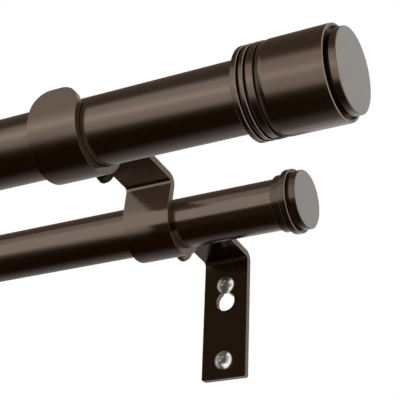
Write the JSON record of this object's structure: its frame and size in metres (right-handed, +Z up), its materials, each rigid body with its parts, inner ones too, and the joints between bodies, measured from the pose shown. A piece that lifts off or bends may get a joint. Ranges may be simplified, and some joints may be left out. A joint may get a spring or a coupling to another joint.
{
  "type": "double curtain pole",
  "caption": "Double curtain pole: thick front pole and thinner rear pole with turned end caps, carried on bent strip wall brackets that are clamped and screwed.",
  "frame": {"origin": "on the wall face, behind the upper screw of the right-hand bracket", "axes": "+X along the poles towards the right-hand end, +Y into the wall (the room is at -Y), +Z up"},
  "size_m": [0.8128, 0.1471, 0.0734],
  "materials": {
    "bronze_tube": "semi-gloss dark bronze",
    "bronze_strip": "semi-gloss dark bronze",
    "bronze_cap": "semi-gloss dark bronze",
    "dark_screw": "dark bronze",
    "bright_screw": "bright zinc",
    "plug_plastic": "matt"
  },
  "bodies": {
    "root": {"bracket_left": "bronze_strip", "bracket_right": "bronze_strip", "front_cap_left": "bronze_cap", "front_cap_right": "bronze_cap", "front_clamp_screw_left": "dark_screw", "front_clamp_screw_right": "dark_screw", "front_plug_left": "plug_plastic", "front_plug_right": "plug_plastic", "front_pole": "bronze_tube", "lower_wall_screw_left": "bright_screw", "lower_wall_screw_right": "bright_screw", "rear_cap_left": "bronze_cap", "rear_cap_right": "bronze_cap", "rear_clamp_screw_left": "dark_screw", "rear_clamp_screw_right": "dark_screw", "rear_plug_left": "plug_plastic", "rear_plug_right": "plug_plastic", "rear_pole": "bronze_tube", "upper_wall_screw_left": "bright_screw", "upper_wall_screw_right": "bright_screw"}
  },
  "joints": []
}
